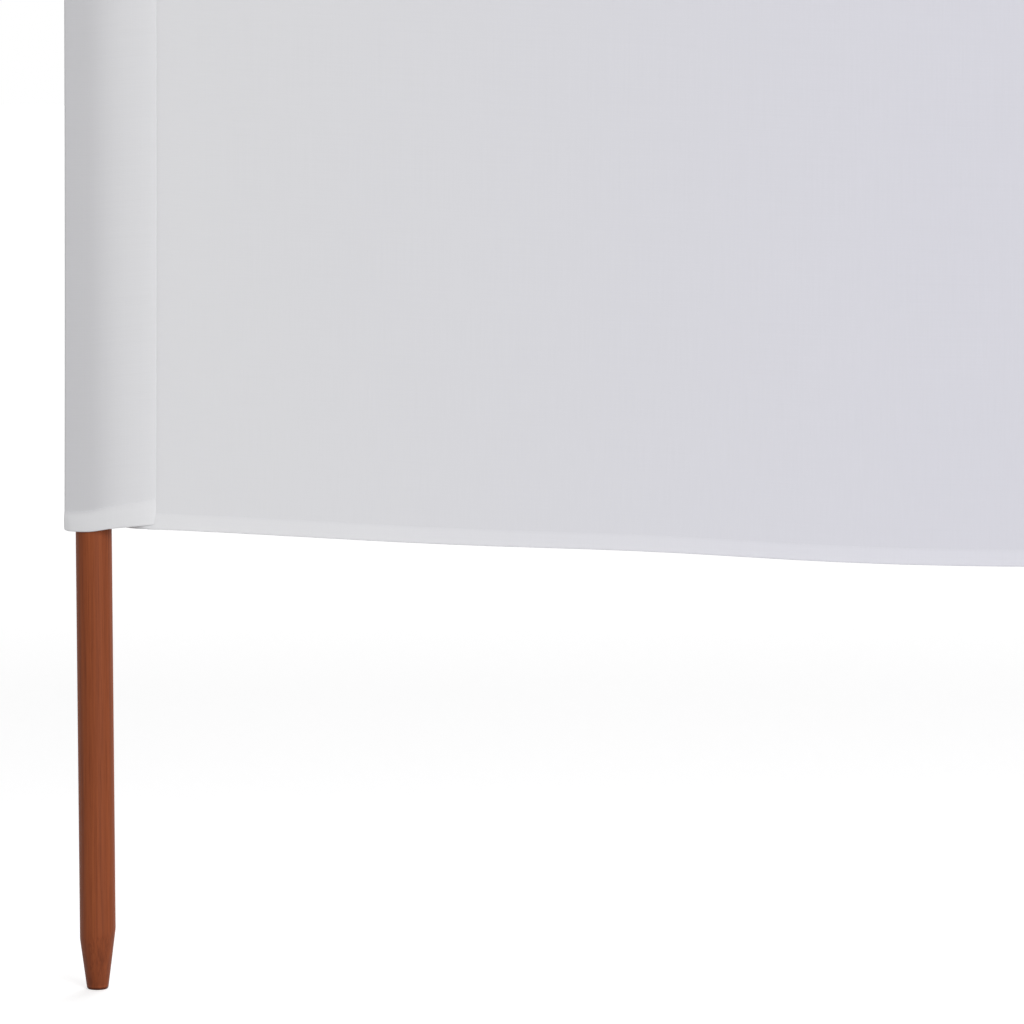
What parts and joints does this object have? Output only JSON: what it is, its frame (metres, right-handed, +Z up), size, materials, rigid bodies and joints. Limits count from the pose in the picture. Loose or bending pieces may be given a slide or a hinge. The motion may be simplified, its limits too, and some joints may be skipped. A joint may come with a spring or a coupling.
{
  "type": "beach windbreak",
  "caption": "Plain white cloth windbreak in a straight row of bays, on brown wooden stakes in sewn pockets, with hemmed edges and bare tapered stake ends to push into the ground.",
  "frame": {"origin": "centre of the flat tip of the middle stake, at ground level", "axes": "+X along the row of bays, to the right seen from the front; +Y towards the back; +Z up"},
  "size_m": [7.998, 0.0549, 1.525],
  "materials": {
    "white_cloth": "fine plain weave, matt",
    "stained_wood": "reddish brown stain, satin"
  },
  "bodies": {
    "root": {"stake_1": "stained_wood", "stake_2": "stained_wood", "stake_3": "stained_wood", "stake_4": "stained_wood", "stake_5": "stained_wood", "stake_6": "stained_wood", "stake_7": "stained_wood", "pocket_1": "white_cloth", "pocket_2": "white_cloth", "pocket_3": "white_cloth", "pocket_4": "white_cloth", "pocket_5": "white_cloth", "pocket_6": "white_cloth", "pocket_7": "white_cloth", "cuff_1": "white_cloth", "cuff_2": "white_cloth", "cuff_3": "white_cloth", "cuff_4": "white_cloth", "cuff_5": "white_cloth", "cuff_6": "white_cloth", "cuff_7": "white_cloth", "panel_1": "white_cloth", "panel_2": "white_cloth", "panel_3": "white_cloth", "panel_4": "white_cloth", "panel_5": "white_cloth", "panel_6": "white_cloth", "bottom_hem_1": "white_cloth", "bottom_hem_2": "white_cloth", "bottom_hem_3": "white_cloth", "bottom_hem_4": "white_cloth", "bottom_hem_5": "white_cloth", "bottom_hem_6": "white_cloth", "top_hem_1": "white_cloth", "top_hem_2": "white_cloth", "top_hem_3": "white_cloth", "top_hem_4": "white_cloth", "top_hem_5": "white_cloth", "top_hem_6": "white_cloth"}
  },
  "joints": []
}
